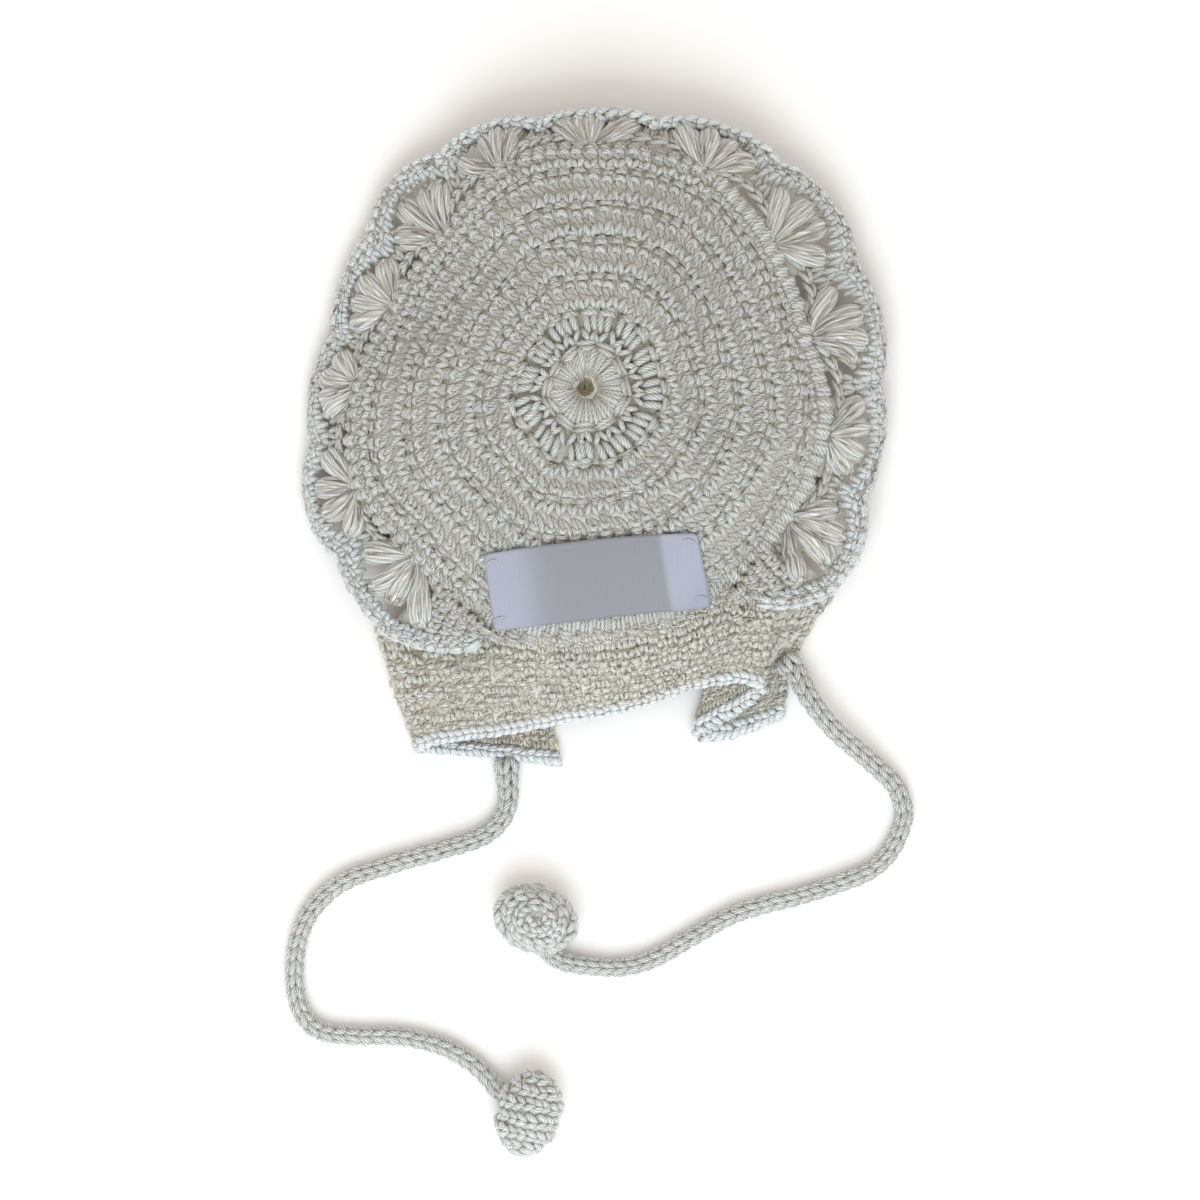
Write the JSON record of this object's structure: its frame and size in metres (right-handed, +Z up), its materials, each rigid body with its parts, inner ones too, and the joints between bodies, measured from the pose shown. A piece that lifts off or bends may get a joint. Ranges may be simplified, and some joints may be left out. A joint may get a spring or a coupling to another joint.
{
  "type": "crocheted baby bonnet",
  "caption": "Crocheted cotton baby bonnet with a round crown, puff-stitch fan frill, neck band, blank satin label and two cord ties ending in balls, lying on its face opening.",
  "frame": {"origin": "middle of the bonnet's box without its ties, on the surface it lies on", "axes": "+Z up, through the crown; +Y from the neck band towards the frill at the top of the head; +X towards the side with the pleated end of the band"},
  "size_m": [0.1757, 0.2907, 0.0325],
  "materials": {
    "yarn": "mercerised cotton yarn, soft sheen",
    "band_yarn": "mercerised cotton yarn, warmer cream",
    "satin": "woven satin tape"
  },
  "bodies": {
    "root": {"crown": "yarn", "side_wall": "yarn", "frill": "yarn", "neck_band": "band_yarn", "neck_edge": "band_yarn", "label": "satin", "tie_left": "yarn", "tie_right": "yarn", "tie_ball_left": "yarn", "tie_ball_right": "yarn"}
  },
  "joints": []
}
